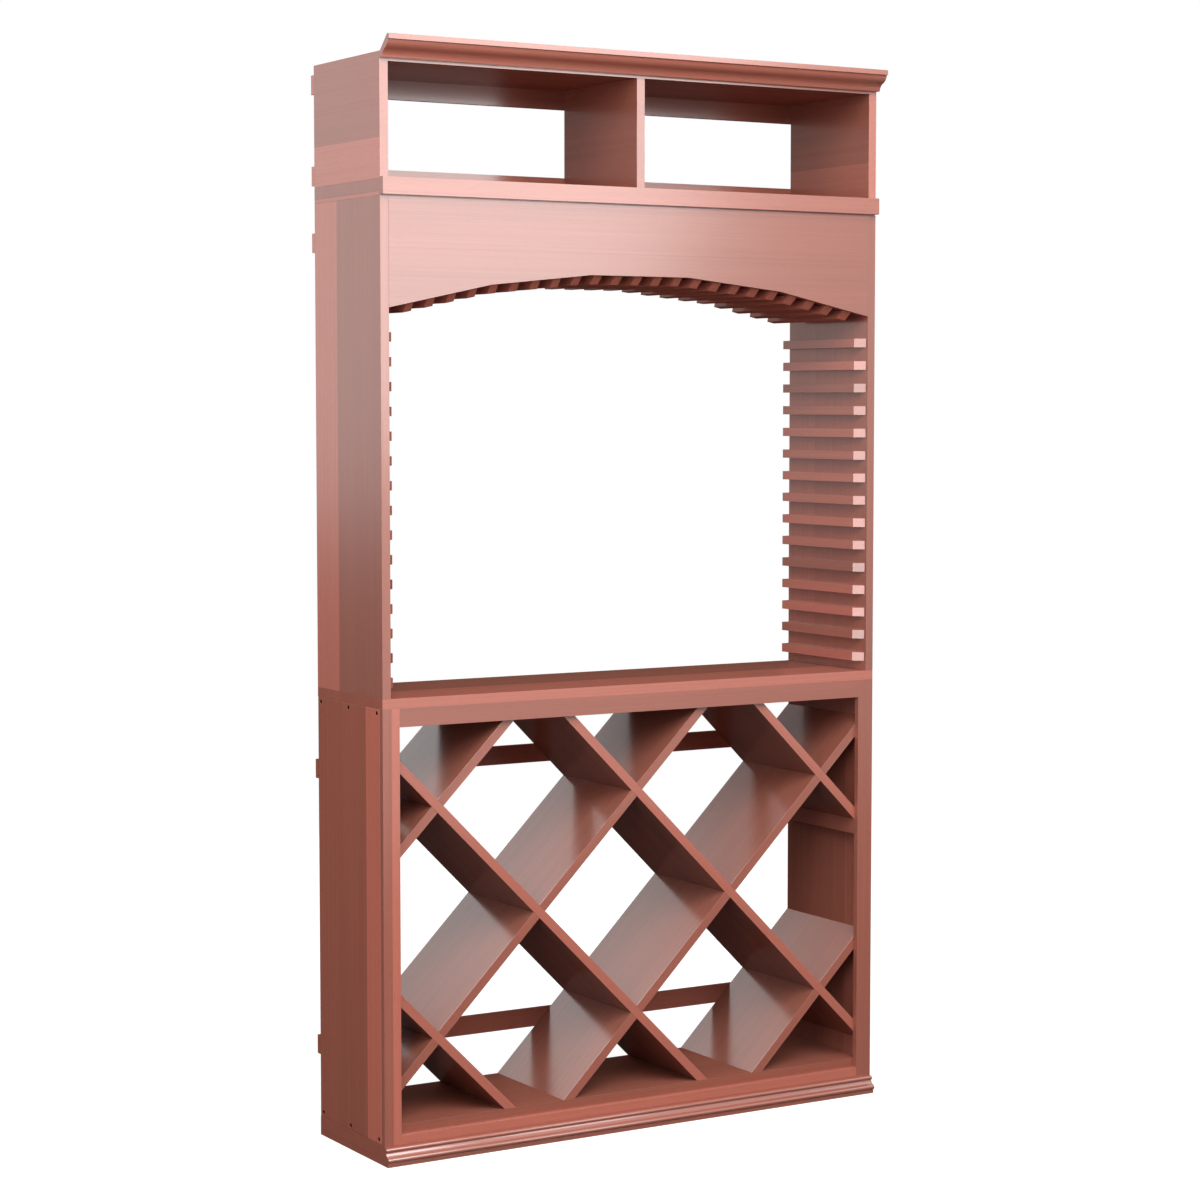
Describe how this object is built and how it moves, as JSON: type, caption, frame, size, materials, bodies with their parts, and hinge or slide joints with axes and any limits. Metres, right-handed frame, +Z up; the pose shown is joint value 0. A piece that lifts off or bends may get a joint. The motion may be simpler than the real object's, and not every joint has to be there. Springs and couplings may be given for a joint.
{
  "type": "wine tasting station",
  "caption": "Free-standing mahogany wine tasting station: diamond lattice base for bottles, table top, slatted arched niche, open bins and crown moulding.",
  "frame": {"origin": "on the floor, under the middle of the station's bounding box", "axes": "+X to the right as seen from the front, +Y from the front to the back, +Z up"},
  "size_m": [1.22, 0.3556, 2.272],
  "materials": {
    "carcass_mahogany": "satin lacquer",
    "frame_mahogany": "satin lacquer",
    "moulding_mahogany": "satin lacquer",
    "lattice_mahogany": "satin lacquer",
    "slat_mahogany": "satin lacquer",
    "rail_mahogany": "satin lacquer",
    "screw_steel": "black oxide"
  },
  "bodies": {
    "root": {"plinth_left": "carcass_mahogany", "plinth_right": "carcass_mahogany", "plinth_front": "carcass_mahogany", "plinth_rear": "carcass_mahogany", "base_side_left": "carcass_mahogany", "base_side_right": "carcass_mahogany", "base_bottom_panel": "carcass_mahogany", "base_top_panel": "carcass_mahogany", "lattice_floor_plate": "carcass_mahogany", "lattice_top_plate": "carcass_mahogany", "table_top": "carcass_mahogany", "arch_side_left": "carcass_mahogany", "arch_side_right": "carcass_mahogany", "arch_valance": "carcass_mahogany", "rear_arch": "carcass_mahogany", "niche_top_panel": "carcass_mahogany", "belt_deck": "carcass_mahogany", "bin_side_left": "carcass_mahogany", "bin_side_right": "carcass_mahogany", "bin_divider": "carcass_mahogany", "bin_top_panel": "carcass_mahogany", "stile_left": "frame_mahogany", "stile_right": "frame_mahogany", "top_rail": "frame_mahogany", "bottom_rail": "frame_mahogany", "base_moulding": "moulding_mahogany", "belt_nosing": "moulding_mahogany", "crown_moulding": "moulding_mahogany", "lattice_falling_upper_short": "lattice_mahogany", "lattice_falling_upper_long": "lattice_mahogany", "lattice_falling_lower_long": "lattice_mahogany", "lattice_falling_lower_short": "lattice_mahogany", "lattice_rising_upper_short": "lattice_mahogany", "lattice_rising_upper_long": "lattice_mahogany", "lattice_rising_lower_long": "lattice_mahogany", "lattice_rising_lower_short": "lattice_mahogany", "arch_slats_far_left": "slat_mahogany", "arch_slats_left": "slat_mahogany", "arch_slats_middle": "slat_mahogany", "arch_slats_right": "slat_mahogany", "arch_slats_far_right": "slat_mahogany", "side_slats_left": "slat_mahogany", "side_slats_right": "slat_mahogany", "base_rear_rail_lower": "rail_mahogany", "base_rear_rail_upper": "rail_mahogany", "arch_rear_rail": "rail_mahogany", "bin_rear_rail_lower": "rail_mahogany", "bin_rear_rail_upper": "rail_mahogany", "lattice_cleat_left": "rail_mahogany", "lattice_cleat_right": "rail_mahogany", "side_screws": "screw_steel", "rail_screws": "screw_steel"}
  },
  "joints": []
}
